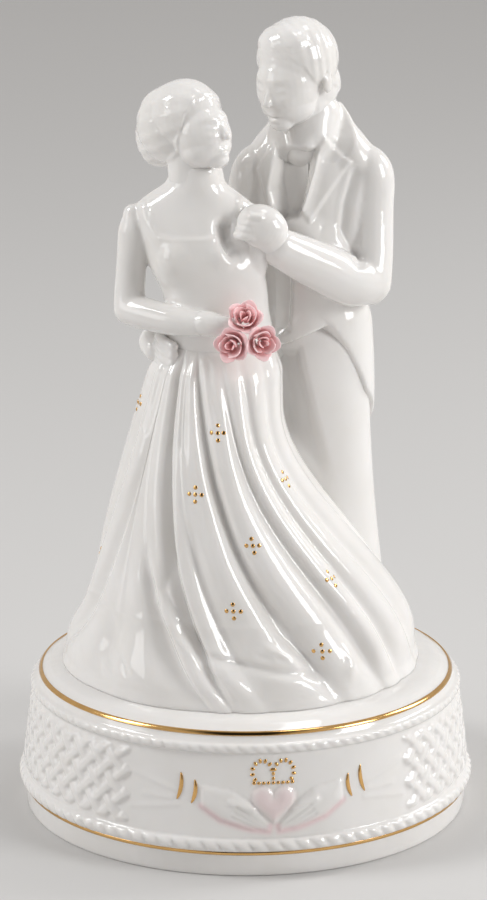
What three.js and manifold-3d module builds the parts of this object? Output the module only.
// Wedding cake topper: a bride and groom of slip-cast porcelain on a hollow round drum.
// Millimetres, +Z up. The origin is the centre of the drum's foot, and the couple's front faces -Y.
// Bride's and groom's left and right are their own, so the bride's right arm is at the viewer's left.

import * as THREE from "three";
import { mergeVertices } from "three/addons/utils/BufferGeometryUtils.js";
import Module from "manifold-3d";

const wasm = await Module();
wasm.setup();

// Slip joints: the cast pieces are stuck together with liquid clay, and this is its thickness
const SLIP_JOINT = 0.3;

// Drum, from the foot upwards
const FOOT_RADIUS = 52.4;
const FOOT_HEIGHT = 5.8;
const FOOT_FLARE = 0.5;
const LOWER_ROPE_RADIUS = 1.5;
const LOWER_ROPE_PROUD = 0.9;
const UPPER_ROPE_RADIUS = 1.1;
const UPPER_ROPE_PROUD = 0.7;
const PANEL_HEIGHT = 19.5;
const PANEL_TAPER = 2.7;
const SHOULDER_HEIGHT = 3.1;
const SHOULDER_INSET = 1.5;
const PLATE_RISE = 2.4;
const PLATE_SLOPE_LENGTH = 5;
const DRUM_WALL = 4;
const DRAIN_RADIUS = 15;
const DRUM_SEGMENTS = 64;

// Ornament of the panel, along the wall from the middle of the heart and up from the foot of the panel
const ORNAMENT_TURN = 7;
const WEAVE_CROSSINGS = 59;
const WEAVE_GAP_CELLS = 12;
const WEAVE_RELIEF = 0.7;
const HEART_HALF_WIDTH = 5;
const HEART_MIDDLE = 8.3;
const HEART_RELIEF = 1.1;
const HAND_RELIEF = 0.8;
const HAND_OUTLINE = [
  [-16.3, 12.2],
  [-9.2, 11.1],
  [-4.9, 8.1],
  [-0.8, 2.9],
  [-1.2, 1.7],
  [-5.2, 2.2],
  [-11.9, 4.3],
  [-16.3, 7.3],
];

// Skirt: a bell that sweeps from the waist to a round hem
const SKIRT_HEIGHT = 79;
const SKIRT_WAIST_HALF_WIDTH = 14.3;
const SKIRT_WAIST_HALF_DEPTH = 10;
const HEM_RADIUS = 41.8;
const HEM_X = -1.2;
const HEM_FLARE = 8.4;
const HEM_FLARE_HEIGHT = 20;
const TRAIN_TOP = 63;
const TRAIN_FOOT = 6;
const SKIRT_WALL = 4;
const SKIRT_FOLD_DEPTH = 3.3;
const SKIRT_RIDGE_SHARE = 0.2;
const SKIRT_CLOSED_TOP = 12;
const COLUMNS_PER_FOLD = 6;
const GROOM_BAY_ANGLE = 68;
const GROOM_BAY_HALF_ANGLE = 26;
const GROOM_BAY_DEPTH = 17;

// Valleys between the skirt's main folds: their angles at the waist, half way down and at the hem, the share of
// the fall where they begin, and their share of the depth. 0 degrees is +X, the groom's side, and -90 is the front
const SKIRT_VALLEYS = [
  [-160, -170, -206, 0, 0.8],
  [-140, -147, -182, 0, 0.8],
  [-137.5, -140.5, -140, 0.75, 0.6],
  [-135, -134, -99, 0.55, 0.8],
  [-128, -119, -92, 0, 1.15],
  [-120, -108, -80, 0.45, 0.6],
  [-113, -89, -56, 0, 1.2],
  [-92, -63, -38, 0, 1],
  [-72, -47, -27, 0, 0.7],
  [-46, -27, -8, 0, 0.6],
  [-8, 0, 24, 0, 0.7],
  [35, 40, 52, 0, 0.9],
  [72, 74, 76, 0, 0.9],
  [110, 112, 100, 0, 1],
  [135, 136, 122, 0, 1],
  [160, 158, 146, 0, 1],
];

// Bride's place on the plate, and her bodice from the waist up
const BRIDE_X = -5.8;
const BRIDE_Y = -9;
const BODICE_HALF_WIDTH = 12.2;
const BODICE_HALF_DEPTH = 9.2;
const BUST_HEIGHT = 18;
const BUST_HALF_DEPTH = 10.6;
const BRIDE_SHOULDER_HEIGHT = 28.5;
const BRIDE_SHOULDER_HALF_WIDTH = 13.4;
const BRIDE_SHOULDER_HALF_DEPTH = 8;
const BRIDE_LEAN_X = -6.2;
const BRIDE_LEAN_Y = 1.2;
const BRIDE_COLLAR_HEIGHT = 38.5;
const BRIDE_COLLAR_RADIUS = 5.8;
const BRIDE_NECK_RADIUS = 5;
const WAIST_SEAM_INSET = 0.5;

// Bride's arms: her right one is bent across the waist, her left one is raised to the groom's hand
const BRIDE_SLEEVE_RADIUS = 3.9;
const BRIDE_WRIST_RADIUS = 3.1;
const BRIDE_RIGHT_UPPER_ARM_DROP = 25;
const BRIDE_RIGHT_ELBOW_OUT = 0.5;
const BRIDE_RIGHT_FOREARM_REACH = 14.5;
const BRIDE_RIGHT_FOREARM_FORWARD = 10.5;
const BRIDE_HAND_LENGTH = 8.5;
const BRIDE_HAND_HALF_WIDTH = 3.5;
const BRIDE_HAND_HALF_THICKNESS = 1.9;
const BRIDE_LEFT_ELBOW_DROP = 18;
const BRIDE_LEFT_ELBOW_OUT = 0;
const BRIDE_RIGHT_ELBOW_FORWARD = 1;
const BRIDE_LEFT_ELBOW_FORWARD = 2;

// Groom's place on the plate, his trousers and his coat
const GROOM_X = 16.4;
const GROOM_Y = 8;
const TROUSER_HEIGHT = 74.5;
const TROUSER_HALF_WIDTH = 12.4;
const TROUSER_HALF_DEPTH = 10;
const TROUSER_HEM_HALF_WIDTH = 14.6;
const TROUSER_HEM_HALF_DEPTH = 11.6;
const TROUSER_HEM_X = 3.6;
const TROUSER_HEM_Y = 3;
const TROUSER_SEAM_DEPTH = 2.2;
const TROUSER_SEAM_RADIUS = 4;
const TROUSER_SEAM_TOP = 0.75;
const COAT_WAIST_HALF_WIDTH = 12.2;
const COAT_WAIST_HALF_DEPTH = 9.4;
const CHEST_HEIGHT = 25;
const CHEST_HALF_WIDTH = 13.4;
const CHEST_FORWARD = 0.8;
const CHEST_HALF_DEPTH = 10;
const GROOM_SHOULDER_HEIGHT = 39.5;
const GROOM_SHOULDER_HALF_WIDTH = 17.2;
const GROOM_SHOULDER_HALF_DEPTH = 8.6;
const GROOM_COLLAR_HEIGHT = 55;
const GROOM_COLLAR_RADIUS = 7.2;
const GROOM_NECK_RADIUS = 6.8;
const NECK_OPENING_HEIGHT = 45;
const NECK_OPENING_SLOPE = 49;
const SHIRT_FOOT_HEIGHT = 31;
const SHIRT_HALF_WIDTH = 5.4;
const SHIRT_X = -2.6;
const SHIRT_DEPTH = 3;
const COAT_HEM_PROUD = 0.5;
const GROOM_COLLAR_BACK = 1.6;
const GROOM_LEAN_X = -1.4;
const TAIL_THICKNESS = 1.8;
const TAIL_LENGTH = 25;
const TAIL_FRONT_LENGTH = 9;
const TAIL_FRONT_AT_TOP = -8.3;
const TAIL_FRONT_AT_HEM = -6.5;
const TAIL_BACK = 9;
const TAIL_VENT_WIDTH = 1;
const TAIL_VENT_LENGTH = 17;

// Groom's arms: his left one is bent and holds the bride's hand, his right one goes behind her
const GROOM_SLEEVE_RADIUS = 5.7;
const GROOM_FOREARM_RADIUS = 5.3;
const GROOM_WRIST_RADIUS = 4.7;
const GROOM_LEFT_UPPER_ARM_DROP = 28.5;
const GROOM_LEFT_ELBOW_FORWARD = 6;
const GROOM_LEFT_FOREARM_REACH = 20.5;
const GROOM_LEFT_FOREARM_RISE = 19.48; // up to the clasp, if the shoulders of the two were level
const GROOM_LEFT_FOREARM_FORWARD = 13;
const FIST_LENGTH = 11;
const FIST_HALF_WIDTH = 5.1;
const FIST_HALF_THICKNESS = 4.5;
const FIST_RISE = 0.5;
const GROOM_RIGHT_ELBOW_DROP = 28.5;
const GROOM_RIGHT_ELBOW_OUT = 4.5;
const GROOM_RIGHT_ELBOW_BACK = 2;
const HIP_HAND_LENGTH = 11;
const HIP_HAND_HALF_WIDTH = 4.8;
const HIP_HAND_HALF_THICKNESS = 2.2;
const HIP_HAND_DROP = 4;

// Heads, in frames whose -Y is the face. Positive nod looks down, positive turn looks to the viewer's right
const BRIDE_HEAD_HEIGHT = 22.6;
const BRIDE_HEAD_HALF_WIDTH = 8.2;
const BRIDE_HEAD_HALF_DEPTH = 10.8;
const BRIDE_HEAD_SINK = 2;
const BRIDE_HEAD_TURN = 48;
const BRIDE_HEAD_NOD = -13;
const BUN_RADIUS = 5;
const BUN_HEIGHT = 11;
const GROOM_HEAD_HEIGHT = 25.8;
const GROOM_HEAD_HALF_WIDTH = 9.2;
const GROOM_HEAD_HALF_DEPTH = 11.2;
const GROOM_HEAD_TURN = -40;
const GROOM_HEAD_NOD = 12;
const GROOM_HEAD_SINK = 4.3;
const NOSE_LENGTH = 2.3;

// Bouquet of roses at the bride's waist, each rolled from a bud and two whorls of petals
const ROSE_NAMES = ["rose_top", "rose_left", "rose_right"];
const ROSE_RADIUS = 3.7;
const ROSE_DEPTH = 4.6;
const PETAL_THICKNESS = 0.5;
const ROSE_RING_RADIUS = 2.9;
const ROSE_SPLAY = 20;
const BOUQUET_FACE_UP = 16;
const FIRST_ROSE_ANGLE = 95;
const BOUQUET_X = 6;
const BOUQUET_RISE = 3.6;
const OUTER_PETALS = 5;
const INNER_PETALS = 3;
const PETAL_LOBE = 0.09;

const { PI, abs, cos, sin, sqrt, hypot, atan2, min, max, exp, floor, round } = Math;
const radians = THREE.MathUtils.degToRad;
const lerp = THREE.MathUtils.lerp;
const vector = (x, y, z) => new THREE.Vector3(x, y, z);

// Solids and booleans

function toSolid(geometry) {
  const bare = geometry.clone();
  bare.deleteAttribute("normal");
  bare.deleteAttribute("uv");
  const merged = mergeVertices(bare, 1e-3);
  const corners = merged.index.array;
  const kept = [];
  for (let i = 0; i < corners.length; i += 3) {
    const [a, b, c] = corners.slice(i, i + 3);
    if (a !== b && b !== c && c !== a) kept.push(a, b, c);
  }
  const vertProperties = merged.getAttribute("position").array;
  return new wasm.Manifold(new wasm.Mesh({ numProp: 3, vertProperties, triVerts: new Uint32Array(kept) }));
}

function toGeometry(solid) {
  const { vertProperties, triVerts } = solid.getMesh();
  const geometry = new THREE.BufferGeometry();
  geometry.setAttribute("position", new THREE.BufferAttribute(vertProperties, 3));
  geometry.setIndex(new THREE.BufferAttribute(triVerts, 1));
  geometry.computeVertexNormals();
  return geometry;
}

// Trims a piece where it would enter its neighbours, and keeps the largest remaining body
function seat(piece, ...neighbours) {
  const trimmed = neighbours.reduce((left, neighbour) => left.subtract(neighbour), piece);
  return trimmed.decompose().reduce((best, body) => (body.volume() > best.volume() ? body : best));
}

// A closed skin: a cylinder whose points are moved to surface(along, angle) and whose end centres go to centre(along)
function skin(sides, rows, surface, centre) {
  const geometry = new THREE.CylinderGeometry(1, 1, 1, sides, rows);
  const position = geometry.getAttribute("position");
  for (let i = 0; i < position.count; i++) {
    const [x, y, z] = [position.getX(i), position.getY(i), position.getZ(i)];
    const along = y + 0.5;
    const point = hypot(x, z) < 0.5 ? centre(along) : surface(along, atan2(-z, x));
    position.setXYZ(i, point.x, point.y, point.z);
  }
  return toSolid(geometry);
}

const splineOf = (points) => new THREE.CatmullRomCurve3(points);

// An upright form through level oval sections, {at, halfWidth, halfDepth}, grown outwards by grow
function upright(sections, { sides = 24, rows = 12, grow = 0 } = {}) {
  const spine = splineOf(sections.map((section) => section.at));
  const sizes = splineOf(sections.map((section) => vector(section.halfWidth, section.halfDepth, 0)));
  const lift = (along) => vector(0, 0, (2 * along - 1) * grow);
  const centre = (along) => spine.getPoint(along).add(lift(along));
  const surface = (along, angle) => {
    const size = sizes.getPoint(along);
    const out = vector((size.x + grow) * cos(angle), (size.y + grow) * sin(angle), 0);
    return centre(along).add(out);
  };
  return skin(sides, rows, surface, centre);
}

// A round-ended limb through sections square to its own line, flat across the reference direction
function limb(sections, { sides = 12, rows = 8, reference = vector(0, -1, 0), grow = 0 } = {}) {
  const spine = splineOf(sections.map((section) => section.at));
  const sizes = splineOf(sections.map((section) => vector(section.halfWidth, section.halfDepth, 0)));
  const length = spine.getLength();
  const bunched = (along) => 0.5 - 0.5 * cos(PI * along);
  const lift = (along) => spine.getTangent(along).multiplyScalar((2 * along - 1) * grow);
  const centre = (along) => spine.getPoint(bunched(along)).add(lift(bunched(along)));
  const surface = (along, angle) => {
    const place = bunched(along);
    const size = sizes.getPoint(place);
    const tip = min(size.x, size.y) / length;
    const rounding = sqrt(1 - max(0, 1 - place / tip, 1 - (1 - place) / tip) ** 2);
    const tangent = spine.getTangent(place);
    const across = vector().crossVectors(tangent, reference).normalize();
    const through = vector().crossVectors(across, tangent);
    across.multiplyScalar((size.x + grow) * rounding * cos(angle));
    through.multiplyScalar(-(size.y + grow) * rounding * sin(angle));
    return centre(along).add(across).add(through);
  };
  return skin(sides, rows, surface, centre);
}

function ball(centre, rx, ry, rz, sides = 14) {
  const geometry = new THREE.SphereGeometry(1, sides, sides / 2);
  return toSolid(geometry.rotateX(PI / 2).scale(rx, ry, rz).translate(centre.x, centre.y, centre.z));
}

function revolved(profile, segments) {
  const closed = profile.map(([radius, height]) => new THREE.Vector2(radius, height));
  return toSolid(new THREE.LatheGeometry(closed, segments).rotateX(PI / 2));
}

// Drum: a lathe-turned shell with two rope beads, a sloping plate and a drain hole under the skirt

const footTopRadius = FOOT_RADIUS + FOOT_FLARE;
const lowerRopeZ = FOOT_HEIGHT + LOWER_ROPE_RADIUS + SLIP_JOINT;
const panelBottom = lowerRopeZ + LOWER_ROPE_RADIUS;
const panelTop = panelBottom + PANEL_HEIGHT;
const panelTopRadius = footTopRadius - PANEL_TAPER;
const upperRopeZ = panelTop + UPPER_ROPE_RADIUS;
const rimZ = upperRopeZ + SHOULDER_HEIGHT;
const rimRadius = panelTopRadius - SHOULDER_INSET;
const plateZ = rimZ + PLATE_RISE;

// Half-round bead that stands proud of a wall, from its lower edge to its upper edge
function bead(wallRadius, z, radius, proud) {
  const steps = 4;
  return Array.from({ length: steps + 1 }, (_, i) => {
    const angle = -PI / 2 + (PI * i) / steps;
    return [wallRadius + (radius * 0.2 + proud) * cos(angle), z + radius * sin(angle)];
  });
}

// A point on the panel: along the wall from the middle of the heart, up it and out of it
const ornamentRadius = (footTopRadius + panelTopRadius) / 2;

function onPanel(along, up, out) {
  const radius = lerp(footTopRadius, panelTopRadius, up / PANEL_HEIGHT) + out;
  const angle = radians(ORNAMENT_TURN - 90) + along / ornamentRadius;
  return vector(radius * cos(angle), radius * sin(angle), panelBottom + up);
}

// Basketweave: a plate whose front rises at every crossing and sinks to the wall between the strands. Each of its
// cells is split from crossing to crossing, so that the edges run along the strands
function weave() {
  const cell = (PI * ornamentRadius) / WEAVE_CROSSINGS;
  const columns = 2 * (WEAVE_CROSSINGS - WEAVE_GAP_CELLS);
  const rows = 2 * floor(PANEL_HEIGHT / (2 * cell));
  const plate = new THREE.BoxGeometry(columns * cell, rows * cell, DRUM_WALL / 2, columns, rows);
  const position = plate.getAttribute("position");
  const cellOf = (i) => [round(position.getX(i) / cell), round(position.getY(i) / cell)];
  const crossing = (i) => (cellOf(i)[0] + cellOf(i)[1] + WEAVE_CROSSINGS) % 2 === 0;
  const { start, count } = plate.groups[4];
  for (let i = start; i < start + count; i += 6) {
    const [a, b, d, , c] = plate.index.array.slice(i, i + 6);
    if (crossing(a)) plate.index.array.set([a, b, c, a, c, d], i);
  }
  for (let i = 0; i < position.count; i++) {
    const [across, up] = cellOf(i);
    const edge = abs(across) === columns / 2 || abs(up) === rows / 2;
    const rise = edge ? -SLIP_JOINT : crossing(i) ? WEAVE_RELIEF : WEAVE_RELIEF / 6;
    const out = position.getZ(i) < 0 ? position.getZ(i) : rise;
    const point = onPanel(PI * ornamentRadius + across * cell, PANEL_HEIGHT / 2 + up * cell, out);
    position.setXYZ(i, point.x, point.y, point.z);
  }
  return toSolid(plate);
}

// A cushion on the panel: its outline rises from inside the wall and draws in towards its middle
function relief(points, height) {
  const outline = THREE.ShapeUtils.isClockWise(points) ? points.toReversed() : points;
  const middle = outline.reduce((sum, point) => sum.add(point), new THREE.Vector2()).divideScalar(outline.length);
  const rings = [
    [1, -DRUM_WALL / 4],
    [1, height / 8],
    [0.84, 0.75 * height],
    [0.6, height],
  ];
  const surface = (along, angle) => {
    const [size, out] = rings[round(along * (rings.length - 1))];
    const index = round((angle / (2 * PI) + 1) * outline.length) % outline.length;
    const point = middle.clone().lerp(outline[index], size);
    return onPanel(point.x, point.y, out);
  };
  const centre = (along) => onPanel(middle.x, middle.y, rings[round(along * (rings.length - 1))][1]);
  return skin(outline.length, rings.length - 1, surface, centre);
}

function heart() {
  const size = HEART_HALF_WIDTH / 16;
  const outline = Array.from({ length: 24 }, (_, i) => {
    const turn = (2 * PI * i) / 24;
    const up = 13 * cos(turn) - 5 * cos(2 * turn) - 2 * cos(3 * turn) - cos(4 * turn);
    return new THREE.Vector2(16 * size * sin(turn) ** 3, HEART_MIDDLE + size * up);
  });
  return relief(outline, HEART_RELIEF);
}

// One of the two hands that hold the heart
const clasp = (side) => relief(HAND_OUTLINE.map(([along, up]) => new THREE.Vector2(side * along, up)), HAND_RELIEF);

function drum() {
  const plateRadius = rimRadius - PLATE_SLOPE_LENGTH;
  const innerFoot = FOOT_RADIUS - DRUM_WALL;
  const innerTop = panelTopRadius - DRUM_WALL;
  const profile = [
    [FOOT_RADIUS, 0],
    [footTopRadius, FOOT_HEIGHT],
    ...bead(footTopRadius, lowerRopeZ, LOWER_ROPE_RADIUS, LOWER_ROPE_PROUD),
    ...bead(panelTopRadius, upperRopeZ, UPPER_ROPE_RADIUS, UPPER_ROPE_PROUD),
    [rimRadius, rimZ],
    [lerp(rimRadius, plateRadius, 0.5), lerp(rimZ, plateZ, 0.7)],
    [plateRadius, plateZ],
    [DRAIN_RADIUS, plateZ],
    [DRAIN_RADIUS, plateZ - DRUM_WALL],
    [plateRadius - DRUM_WALL / 2, plateZ - DRUM_WALL],
    [innerTop, panelTop],
    [innerFoot, 0],
  ];
  const shell = revolved([...profile, profile[0]], DRUM_SEGMENTS);
  return [weave(), heart(), clasp(1), clasp(-1)].reduce((whole, relief) => whole.add(relief), shell);
}

// Skirt: its hem is a circle about the drum's axis, with a bay at the back where the groom stands

const coupleZ = plateZ + SLIP_JOINT;
const waist = vector(BRIDE_X, BRIDE_Y, coupleZ + SKIRT_HEIGHT);
const step = THREE.MathUtils.smoothstep;

// The skirt's line from the waist to the middle of the hem, at a share of its fall
function skirtCentre(fall, grow = 0) {
  const stay = 1 - fall * fall;
  const z = waist.z - fall * SKIRT_HEIGHT + (1 - 2 * fall) * grow;
  return vector(lerp(HEM_X, BRIDE_X, stay), BRIDE_Y * stay, z);
}

// Reach from that line: an even spread with a flared hem, but the train at the groom's side starts lower down
function skirtReach(fall) {
  const above = (1 - fall) * SKIRT_HEIGHT;
  const flare = 1 - step(above, 0, HEM_FLARE_HEIGHT);
  const hem = HEM_RADIUS;
  const even = (half) => lerp(half, hem - HEM_FLARE, min(1, 1.3 * fall)) + HEM_FLARE * flare;
  const train = lerp(SKIRT_WAIST_HALF_WIDTH, hem, 1 - step(above, TRAIN_FOOT, TRAIN_TOP));
  return { right: train, side: even(SKIRT_WAIST_HALF_WIDTH), depth: even(SKIRT_WAIST_HALF_DEPTH) };
}

// Angle of a valley, which bends through its three angles, with the first one repeated after a full turn
function valleyAngle(index, fall) {
  const [atWaist, halfway, atHem] = SKIRT_VALLEYS[index % SKIRT_VALLEYS.length];
  const turns = 360 * floor(index / SKIRT_VALLEYS.length);
  return lerp(atWaist, atHem, fall) + 2 * (atWaist + atHem - 2 * halfway) * fall * (fall - 1) + turns;
}

// How far the skirt is pressed in, at a share of the way from one valley to the next: soft valleys, ridges that stand out
function valleyDepth(index, share, fall) {
  const begun = (at) => {
    const [, , , start, share] = SKIRT_VALLEYS[at % SKIRT_VALLEYS.length];
    return share * (start ? step(fall, start, start + 0.15) : 1);
  };
  const hollow = cos(PI * share ** 0.9) ** 2;
  const settled = step(fall, -0.04, 0.12) * (1 - 0.8 * step(fall, 0.86, 1));
  const depth = sqrt(fall) * settled * lerp(begun(index), begun(index + 1), share);
  return depth * (0.4 * hollow + 0.6 * hollow ** 3 - SKIRT_RIDGE_SHARE);
}

// The skin's columns follow the folds: each fold is the same share of the turn, from valley to valley
function skirtForm({ rows, columns = COLUMNS_PER_FOLD, inset = 0, foldDepth = SKIRT_FOLD_DEPTH, top = 0 }) {
  const fallOf = (along) => lerp(1, top, along);
  const surface = (along, turn) => {
    const fall = fallOf(along);
    const folds = ((turn + PI) / (2 * PI)) * SKIRT_VALLEYS.length;
    const index = floor(folds + 1e-6);
    const share = max(0, folds - index);
    const angle = radians(lerp(valleyAngle(index, fall), valleyAngle(index + 1, fall), share));
    const valley = foldDepth * valleyDepth(index, share, fall);
    const offBay = angle - radians(GROOM_BAY_ANGLE);
    const bayShare = atan2(sin(offBay), cos(offBay)) / radians(GROOM_BAY_HALF_ANGLE);
    const bay = GROOM_BAY_DEPTH * fall * exp(-(bayShare ** 2));
    const change = -valley - bay - inset;
    const reach = skirtReach(fall);
    const across = (cos(angle) > 0 ? reach.right : reach.side) + change;
    const out = vector(across * cos(angle), (reach.depth + change) * sin(angle), 0);
    return skirtCentre(fall, max(-inset, 0)).add(out);
  };
  const sides = SKIRT_VALLEYS.length * columns;
  return skin(sides, rows, surface, (along) => skirtCentre(fallOf(along), max(-inset, 0)));
}

const skirt = (grow) => {
  const outside = skirtForm({ rows: 14, inset: -grow });
  return grow ? outside : outside.subtract(skirtHollow());
};

function skirtHollow() {
  const inset = SKIRT_WALL + SKIRT_FOLD_DEPTH / 2;
  const form = skirtForm({ rows: 6, columns: 3, inset, foldDepth: 0, top: SKIRT_CLOSED_TOP / SKIRT_HEIGHT });
  return form.add(form.translate([0, 0, -SLIP_JOINT]));
}

// Bodice: it leans towards the viewer's left from the waist to the collar

const brideLean = (height) => {
  const share = min(1, height / BRIDE_SHOULDER_HEIGHT);
  return vector(BRIDE_LEAN_X * share, BRIDE_LEAN_Y * share * share, height);
};

function bodice(grow) {
  const section = (height, halfWidth, halfDepth, forward = 0) => {
    const at = brideLean(height).add(waist).add(vector(0, -forward, SLIP_JOINT));
    return { at, halfWidth, halfDepth };
  };
  const bustForward = (BUST_HALF_DEPTH - BODICE_HALF_DEPTH) / 2;
  const sections = [
    section(0, SKIRT_WAIST_HALF_WIDTH - WAIST_SEAM_INSET, SKIRT_WAIST_HALF_DEPTH - WAIST_SEAM_INSET),
    section(BUST_HEIGHT / 3, BODICE_HALF_WIDTH, BODICE_HALF_DEPTH),
    section((2 * BUST_HEIGHT) / 3, BODICE_HALF_WIDTH, BODICE_HALF_DEPTH, bustForward),
    section(BUST_HEIGHT, lerp(BODICE_HALF_WIDTH, BRIDE_SHOULDER_HALF_WIDTH, 0.5), BUST_HALF_DEPTH, bustForward),
    section(lerp(BUST_HEIGHT, BRIDE_SHOULDER_HEIGHT, 0.6), BRIDE_SHOULDER_HALF_WIDTH, BODICE_HALF_DEPTH),
    section(BRIDE_SHOULDER_HEIGHT, BRIDE_SHOULDER_HALF_WIDTH, BRIDE_SHOULDER_HALF_DEPTH),
    section(lerp(BRIDE_SHOULDER_HEIGHT, BRIDE_COLLAR_HEIGHT, 0.35), BRIDE_COLLAR_RADIUS * 2, BRIDE_COLLAR_RADIUS * 1.1),
    section(lerp(BRIDE_SHOULDER_HEIGHT, BRIDE_COLLAR_HEIGHT, 0.65), BRIDE_COLLAR_RADIUS * 1.1, BRIDE_COLLAR_RADIUS),
    section(BRIDE_COLLAR_HEIGHT, BRIDE_COLLAR_RADIUS, BRIDE_COLLAR_RADIUS),
  ];
  return upright(sections, { rows: 14, grow });
}

const brideCollarTop = brideLean(BRIDE_COLLAR_HEIGHT).add(waist).add(vector(0, 0, SLIP_JOINT));
const brideShoulder = (side) => {
  const out = side * BRIDE_SHOULDER_HALF_WIDTH;
  return brideLean(BRIDE_SHOULDER_HEIGHT).add(waist).add(vector(out, 0, 0.6 * BRIDE_SLEEVE_RADIUS));
};

// Limb sections between points, with a radius at each of them
const rounds = (...pairs) => pairs.map(([at, radius]) => ({ at, halfWidth: radius, halfDepth: radius }));

const brideRightShoulder = brideShoulder(-1);
const brideRightElbow = brideRightShoulder
  .clone()
  .add(vector(-BRIDE_RIGHT_ELBOW_OUT, -BRIDE_RIGHT_ELBOW_FORWARD, -BRIDE_RIGHT_UPPER_ARM_DROP));
const brideRightWrist = brideRightElbow
  .clone()
  .add(vector(BRIDE_RIGHT_FOREARM_REACH, -BRIDE_RIGHT_FOREARM_FORWARD, 0));
const brideLeftShoulder = brideShoulder(1);
const brideLeftElbow = brideLeftShoulder
  .clone()
  .add(vector(BRIDE_LEFT_ELBOW_OUT, -BRIDE_LEFT_ELBOW_FORWARD, -BRIDE_LEFT_ELBOW_DROP));

const brideSleeve = (shoulder, elbow) => (grow) =>
  limb(rounds([shoulder, BRIDE_SLEEVE_RADIUS], [elbow, BRIDE_SLEEVE_RADIUS]), { grow });
const brideRightSleeve = brideSleeve(brideRightShoulder, brideRightElbow);
const brideLeftSleeve = brideSleeve(brideLeftShoulder, brideLeftElbow);
const brideRightForearm = (grow) =>
  limb(rounds([brideRightElbow, BRIDE_SLEEVE_RADIUS], [brideRightWrist, BRIDE_WRIST_RADIUS]), { grow });

// A mitten-shaped hand from the wrist towards the finger tips, flat across the reference direction
function hand(wrist, direction, length, halfWidth, halfThickness, reference, grow) {
  const point = (share) => wrist.clone().addScaledVector(direction, length * share);
  const sections = [
    { at: point(-0.15), halfWidth: halfThickness, halfDepth: halfThickness },
    { at: point(0.4), halfWidth, halfDepth: halfThickness },
    { at: point(0.75), halfWidth, halfDepth: halfThickness },
    { at: point(1.05), halfWidth: halfWidth * 0.75, halfDepth: halfThickness * 0.8 },
  ];
  return limb(sections, { reference, grow });
}

const brideRightHand = (grow) => {
  const direction = vector(1, -0.35, 0.05).normalize();
  const sizes = [BRIDE_HAND_LENGTH, BRIDE_HAND_HALF_WIDTH, BRIDE_HAND_HALF_THICKNESS];
  return hand(brideRightWrist, direction, ...sizes, vector(0, -1, 0), grow);
};

// Trousers, coat and tails

const trouserTop = coupleZ + TROUSER_HEIGHT;

function trousers(grow, flare = 0) {
  const hem = vector(GROOM_X + TROUSER_HEM_X, GROOM_Y + TROUSER_HEM_Y, coupleZ);
  const belt = vector(GROOM_X, GROOM_Y, trouserTop);
  const section = (share, halfWidth, halfDepth) => ({
    at: hem.clone().lerp(belt, share),
    halfWidth: halfWidth + flare,
    halfDepth: halfDepth + flare,
  });
  const sections = [
    section(0, TROUSER_HEM_HALF_WIDTH, TROUSER_HEM_HALF_DEPTH),
    section(0.25, TROUSER_HALF_WIDTH, TROUSER_HALF_DEPTH),
    section(0.55, TROUSER_HALF_WIDTH * 0.97, TROUSER_HALF_DEPTH),
    section(0.8, TROUSER_HALF_WIDTH, TROUSER_HALF_DEPTH),
    section(1, COAT_WAIST_HALF_WIDTH, COAT_WAIST_HALF_DEPTH),
  ];
  return upright(sections, { rows: 14, grow });
}

// The trousers as cast, with the hollow between the legs at the back
function legs(grow) {
  const back = TROUSER_SEAM_RADIUS - TROUSER_SEAM_DEPTH;
  const section = (share, halfDepth, radius, away) => ({
    at: vector(
      lerp(GROOM_X + TROUSER_HEM_X, GROOM_X, share),
      lerp(GROOM_Y + TROUSER_HEM_Y, GROOM_Y, share) + halfDepth + away,
      coupleZ + share * TROUSER_HEIGHT,
    ),
    halfWidth: radius,
    halfDepth: radius,
  });
  const hollow = upright(
    [
      section(-0.05, TROUSER_HEM_HALF_DEPTH, TROUSER_SEAM_RADIUS, back),
      section(0.25, TROUSER_HALF_DEPTH, TROUSER_SEAM_RADIUS, back),
      section(TROUSER_SEAM_TOP, TROUSER_HALF_DEPTH, TROUSER_SEAM_RADIUS / 4, TROUSER_SEAM_RADIUS / 4),
    ],
    { sides: 14, rows: 8 },
  );
  return trousers(grow).subtract(hollow);
}

const coatBottom = vector(GROOM_X, GROOM_Y, trouserTop + SLIP_JOINT);
const groomLean = (height) => coatBottom.clone().add(vector((GROOM_LEAN_X * height) / GROOM_COLLAR_HEIGHT, 0, height));

function coat(grow) {
  const section = (height, halfWidth, halfDepth, back = 0) => ({
    at: groomLean(height).add(vector(0, back, 0)),
    halfWidth,
    halfDepth,
  });
  const slope = (share) => lerp(GROOM_SHOULDER_HALF_WIDTH, GROOM_COLLAR_RADIUS, share);
  const thin = (share) => lerp(GROOM_SHOULDER_HALF_DEPTH, GROOM_COLLAR_RADIUS, share);
  const rise = (share) => lerp(GROOM_SHOULDER_HEIGHT, GROOM_COLLAR_HEIGHT, share);
  const sections = [
    section(0, COAT_WAIST_HALF_WIDTH + COAT_HEM_PROUD, COAT_WAIST_HALF_DEPTH + COAT_HEM_PROUD),
    section(CHEST_HEIGHT / 3, COAT_WAIST_HALF_WIDTH, COAT_WAIST_HALF_DEPTH),
    section(CHEST_HEIGHT, CHEST_HALF_WIDTH, CHEST_HALF_DEPTH, -CHEST_FORWARD),
    section(GROOM_SHOULDER_HEIGHT, GROOM_SHOULDER_HALF_WIDTH, GROOM_SHOULDER_HALF_DEPTH),
    section(rise(0.25), slope(0.18), thin(0.18)),
    section(rise(0.6), slope(0.56), thin(0.56), GROOM_COLLAR_BACK / 2),
    section(rise(1), GROOM_COLLAR_RADIUS, GROOM_COLLAR_RADIUS, GROOM_COLLAR_BACK),
  ];
  return upright(sections, { rows: 16, grow });
}

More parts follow.
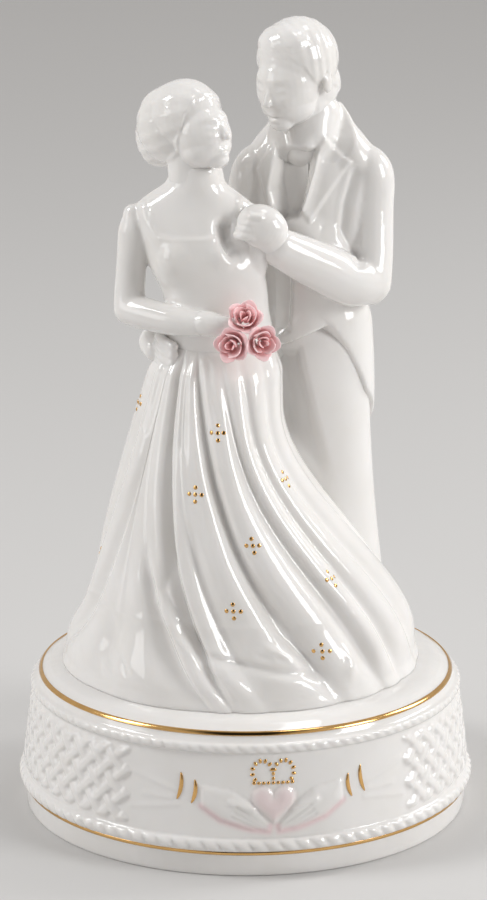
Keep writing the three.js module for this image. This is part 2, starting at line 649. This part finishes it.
// The coat as worn: its collar slopes down to an open front, which shows the shirt in a sunk V
function openCoat(grow) {
  const slope = radians(NECK_OPENING_SLOPE);
  const front = groomLean(NECK_OPENING_HEIGHT).add(vector(0, -GROOM_SHOULDER_HALF_DEPTH / 1.5, 0));
  const way = vector(0, sin(slope), -cos(slope));
  const opened = coat(grow).trimByPlane(way.toArray(), way.dot(front) - grow);
  if (grow) return opened;
  const foot = groomLean(SHIRT_FOOT_HEIGHT);
  const neck = groomLean(GROOM_COLLAR_HEIGHT);
  const gap = new THREE.Shape()
    .moveTo(foot.x + SHIRT_X - 1, foot.z)
    .lineTo(foot.x + SHIRT_X + 1, foot.z)
    .lineTo(neck.x + SHIRT_X / 2 + SHIRT_HALF_WIDTH, neck.z)
    .lineTo(neck.x + SHIRT_X / 2 - SHIRT_HALF_WIDTH, neck.z);
  const wedge = new THREE.ExtrudeGeometry(gap, { depth: 2 * GROOM_SHOULDER_HALF_DEPTH, bevelEnabled: false })
    .rotateX(PI / 2)
    .translate(0, GROOM_Y, 0);
  return opened.subtract(toSolid(wedge).subtract(coat(-SHIRT_DEPTH)));
}

// The tails hug the back of the trousers: short in front, cut down to the back along a slant and parted by a vent
function tails(grow) {
  const shell = trousers(0, SLIP_JOINT + TAIL_THICKNESS + grow).subtract(trousers(0, SLIP_JOINT));
  const span = 4 * HEM_RADIUS;
  const front = new THREE.Shape()
    .moveTo(-span, 0)
    .lineTo(TAIL_FRONT_AT_TOP, 0)
    .lineTo(TAIL_FRONT_AT_HEM, -TAIL_FRONT_LENGTH)
    .lineTo(TAIL_BACK, -TAIL_LENGTH)
    .lineTo(span, -TAIL_LENGTH)
    .lineTo(span, -span)
    .lineTo(-span, -span);
  const cutter = new THREE.ExtrudeGeometry(front, { depth: span, bevelEnabled: false })
    .translate(0, 0, -span / 2)
    .rotateY(-PI / 2)
    .rotateX(PI / 2)
    .rotateZ(PI)
    .translate(GROOM_X, GROOM_Y, trouserTop);
  const vent = new THREE.BoxGeometry(TAIL_VENT_WIDTH, span, TAIL_VENT_LENGTH)
    .translate(GROOM_X, GROOM_Y + span / 2, trouserTop - TAIL_LENGTH + TAIL_VENT_LENGTH / 2);
  return shell.subtract(toSolid(cutter)).subtract(toSolid(vent));
}

// Groom's arms

const groomShoulder = (side) => {
  const out = side * (GROOM_SHOULDER_HALF_WIDTH - 0.75 * GROOM_SLEEVE_RADIUS);
  return groomLean(GROOM_SHOULDER_HEIGHT).add(vector(out, 0, 0.6 * GROOM_SLEEVE_RADIUS));
};
const groomLeftShoulder = groomShoulder(1);
const groomLeftElbow = groomLeftShoulder
  .clone()
  .add(vector(0, -GROOM_LEFT_ELBOW_FORWARD, -GROOM_LEFT_UPPER_ARM_DROP));
// The clasp keeps its height on the bride, so his forearm makes up for the step between their shoulders
const shoulderStep = brideLeftShoulder.z - groomLeftShoulder.z;
const groomLeftWrist = groomLeftElbow
  .clone()
  .add(vector(-GROOM_LEFT_FOREARM_REACH, -GROOM_LEFT_FOREARM_FORWARD, GROOM_LEFT_FOREARM_RISE + shoulderStep));
const forearmLine = groomLeftWrist.clone().sub(groomLeftElbow).normalize();
const fistLine = forearmLine.clone().add(vector(0, 0, FIST_RISE)).normalize();
const fistCentre = groomLeftWrist.clone().addScaledVector(fistLine, FIST_LENGTH / 2);

const groomLeftSleeve = (grow) =>
  limb(rounds([groomLeftShoulder, GROOM_SLEEVE_RADIUS], [groomLeftElbow, GROOM_SLEEVE_RADIUS]), { grow });
const groomLeftForearm = (grow) =>
  limb(rounds([groomLeftElbow, GROOM_FOREARM_RADIUS], [groomLeftWrist, GROOM_WRIST_RADIUS]), { grow });
const fist = (grow) =>
  hand(groomLeftWrist, fistLine, FIST_LENGTH, FIST_HALF_WIDTH, FIST_HALF_THICKNESS, vector(0, -1, 0), grow);

const groomRightShoulder = groomShoulder(-1);
const groomRightElbow = groomRightShoulder
  .clone()
  .add(vector(-GROOM_RIGHT_ELBOW_OUT, GROOM_RIGHT_ELBOW_BACK, -GROOM_RIGHT_ELBOW_DROP));
const hip = waist.clone().add(vector(-SKIRT_WAIST_HALF_WIDTH - HIP_HAND_HALF_THICKNESS, 0, -HIP_HAND_HALF_WIDTH / 2));
const groomRightWrist = hip.clone().add(vector(HIP_HAND_HALF_THICKNESS, HIP_HAND_LENGTH * 0.75, HIP_HAND_DROP / 2));
const groomRightSleeve = (grow) =>
  limb(rounds([groomRightShoulder, GROOM_SLEEVE_RADIUS], [groomRightElbow, GROOM_FOREARM_RADIUS]), { grow });
const groomRightForearm = (grow) =>
  limb(rounds([groomRightElbow, GROOM_FOREARM_RADIUS], [groomRightWrist, GROOM_WRIST_RADIUS]), { grow });
const hipHand = (grow) => {
  const direction = hip.clone().sub(groomRightWrist).normalize();
  const sizes = [HIP_HAND_LENGTH, HIP_HAND_HALF_WIDTH, HIP_HAND_HALF_THICKNESS];
  return hand(groomRightWrist, direction, ...sizes, vector(-1, 0, 0), grow);
};
const brideLeftForearm = (grow) =>
  limb(rounds([brideLeftElbow, BRIDE_SLEEVE_RADIUS], [fistCentre, BRIDE_WRIST_RADIUS]), { grow });

// Heads: level sections from the jaw to the crown, in a frame that stands on the collar

function headForm(height, halfWidth, halfDepth, neckRadius, grow) {
  const section = (share, widthShare, depthShare, back) => ({
    at: vector(0, (back - 0.2) * halfDepth, share * height),
    halfWidth: halfWidth * widthShare,
    halfDepth: halfDepth * depthShare,
  });
  const neck = (z) => ({ at: vector(0, 0, z), halfWidth: neckRadius, halfDepth: neckRadius });
  const sections = [
    neck(-0.3 * height),
    neck(0),
    section(0.1, 0.72, 0.76, -0.08),
    section(0.25, 0.87, 0.9, -0.06),
    section(0.45, 0.96, 0.97, -0.02),
    section(0.65, 1, 1, 0.03),
    section(0.83, 0.92, 0.94, 0.08),
    section(0.95, 0.62, 0.64, 0.1),
    section(1, 0.12, 0.12, 0.1),
  ];
  const nose = vector(0, -1.22 * halfDepth, 0.42 * height);
  return upright(sections, { sides: 20, rows: 14, grow }).add(ball(nose, NOSE_LENGTH / 2, NOSE_LENGTH * 0.7, NOSE_LENGTH, 8));
}

// Sets a head on its collar, turned and nodding
function setHead(form, collarTop, sink, turn, nod) {
  const place = new THREE.Matrix4()
    .makeTranslation(collarTop.x, collarTop.y, collarTop.z - sink)
    .multiply(new THREE.Matrix4().makeRotationZ(radians(turn)))
    .multiply(new THREE.Matrix4().makeRotationX(radians(nod)));
  return form.transform(place.elements);
}

function brideHead(grow) {
  const bun = vector(0, 0.76 * BRIDE_HEAD_HALF_DEPTH, BUN_HEIGHT);
  const hair = ball(bun, BUN_RADIUS + grow, BUN_RADIUS * 0.8 + grow, BUN_RADIUS + grow);
  const sizes = [BRIDE_HEAD_HEIGHT, BRIDE_HEAD_HALF_WIDTH, BRIDE_HEAD_HALF_DEPTH];
  const form = headForm(...sizes, BRIDE_NECK_RADIUS, grow).add(hair);
  return setHead(form, brideCollarTop, BRIDE_HEAD_SINK, BRIDE_HEAD_TURN, BRIDE_HEAD_NOD);
}

const groomCollarTop = groomLean(GROOM_COLLAR_HEIGHT).add(vector(0, GROOM_COLLAR_BACK, 0));

function groomHead(grow) {
  const sizes = [GROOM_HEAD_HEIGHT, GROOM_HEAD_HALF_WIDTH, GROOM_HEAD_HALF_DEPTH];
  const form = headForm(...sizes, GROOM_NECK_RADIUS, grow);
  return setHead(form, groomCollarTop, GROOM_HEAD_SINK, GROOM_HEAD_TURN, GROOM_HEAD_NOD);
}

// Roses: a whorl is a thin cup with a lobed rim, and whorls nest round a bud

function whorl(radius, depth, petals) {
  const wall = PETAL_THICKNESS;
  const profile = [
    [0, 0],
    [radius * 0.55, depth * 0.12],
    [radius * 0.85, depth * 0.5],
    [radius, depth],
    [radius - wall, depth],
    [radius * 0.85 - wall, depth * 0.5],
    [radius * 0.5 - wall / 2, depth * 0.12 + wall],
    [0, wall],
  ];
  const points = profile.map(([r, z]) => new THREE.Vector2(r, z));
  const cup = new THREE.LatheGeometry(points, petals * 6).rotateX(PI / 2);
  const position = cup.getAttribute("position");
  for (let i = 0; i < position.count; i++) {
    const [x, y, z] = [position.getX(i), position.getY(i), position.getZ(i)];
    const lobe = 1 + PETAL_LOBE * (z / depth) * cos(petals * atan2(y, x));
    position.setXYZ(i, x * lobe, y * lobe, z * lobe);
  }
  return toSolid(cup);
}

function bud(radius, height) {
  const profile = [
    [0, 0],
    [radius * 0.5, height * 0.1],
    [radius, height * 0.45],
    [radius * 0.75, height * 0.85],
    [0, height],
  ];
  return revolved(profile, 10);
}

// The plain round room that one rose takes up
function roseRoom(grow) {
  const radius = ROSE_RADIUS * (1 + PETAL_LOBE) + grow;
  const profile = [
    [0, -grow],
    [radius * 0.62, -grow],
    [radius, ROSE_DEPTH / 2],
    [radius, ROSE_DEPTH + radius],
    [0, ROSE_DEPTH + radius],
  ];
  return revolved(profile, 24);
}

// The roses splay outwards from one point in front of the waist
const bouquetFront = BODICE_HALF_DEPTH + 2 * BRIDE_HAND_HALF_THICKNESS + SLIP_JOINT;
const bouquetPoint = waist.clone().add(vector(BOUQUET_X, -bouquetFront, BOUQUET_RISE));
const bouquetPlace = new THREE.Matrix4()
  .makeTranslation(bouquetPoint.x, bouquetPoint.y, bouquetPoint.z)
  .multiply(new THREE.Matrix4().makeRotationX(PI / 2 - radians(BOUQUET_FACE_UP)));

function rosePlace(index) {
  const angle = radians(FIRST_ROSE_ANGLE) + (index * 2 * PI) / ROSE_NAMES.length;
  const splayAxis = vector(-sin(angle), cos(angle), 0);
  return bouquetPlace
    .clone()
    .multiply(new THREE.Matrix4().makeTranslation(ROSE_RING_RADIUS * cos(angle), ROSE_RING_RADIUS * sin(angle), 0))
    .multiply(new THREE.Matrix4().makeRotationAxis(splayAxis, radians(ROSE_SPLAY)));
}

// Assembly: every piece is trimmed by the pieces that are set before it, a slip joint apart

const porcelain = new THREE.MeshStandardMaterial({ color: 0xf1eeea, roughness: 0.12, metalness: 0 });
const petalClay = new THREE.MeshStandardMaterial({ color: 0xe9979b, roughness: 0.45, metalness: 0 });

const topper = new THREE.Group();
const [bride, groom, bouquet] = [new THREE.Group(), new THREE.Group(), new THREE.Group()];
topper.add(bride, groom, bouquet);

const taken = [];

function add(group, name, solid, material) {
  const mesh = new THREE.Mesh(toGeometry(solid), material);
  mesh.name = name;
  group.add(mesh);
}

function cast(group, name, form) {
  add(group, name, seat(form(0), ...taken), porcelain);
  taken.push(form(SLIP_JOINT));
}

add(topper, "base_drum", drum(), porcelain);
cast(bride, "bride_skirt", skirt);
cast(bride, "bride_bodice", bodice);
cast(groom, "groom_trousers", legs);
cast(groom, "groom_coat", openCoat);
cast(groom, "groom_coat_tails", tails);
cast(groom, "groom_head", groomHead);
cast(bride, "bride_head", brideHead);
cast(groom, "groom_left_sleeve", groomLeftSleeve);
cast(groom, "groom_left_forearm", groomLeftForearm);
cast(groom, "groom_left_hand", fist);
cast(groom, "groom_right_sleeve", groomRightSleeve);
cast(groom, "groom_right_forearm", groomRightForearm);
cast(bride, "bride_right_sleeve", brideRightSleeve);
cast(bride, "bride_right_forearm", brideRightForearm);
cast(bride, "bride_right_hand", brideRightHand);
cast(groom, "groom_right_hand", hipHand);
cast(bride, "bride_left_sleeve", brideLeftSleeve);
cast(bride, "bride_left_forearm", brideLeftForearm);

ROSE_NAMES.forEach((name, index) => {
  const at = rosePlace(index).elements;
  const nest = PETAL_THICKNESS + SLIP_JOINT;
  const innerRadius = 0.85 * ROSE_RADIUS - nest;
  const budRadius = 0.85 * innerRadius * (1 - PETAL_LOBE / 2) - nest;
  const pieces = {
    outer_petals: whorl(ROSE_RADIUS, ROSE_DEPTH, OUTER_PETALS),
    inner_petals: whorl(innerRadius, ROSE_DEPTH - nest, INNER_PETALS).translate([0, 0, nest]),
    bud: bud(budRadius, ROSE_DEPTH - nest).translate([0, 0, 2 * nest]),
  };
  for (const [piece, solid] of Object.entries(pieces)) {
    add(bouquet, `${name}_${piece}`, seat(solid.transform(at), ...taken), petalClay);
  }
  taken.push(roseRoom(SLIP_JOINT).transform(at));
});

export default topper;
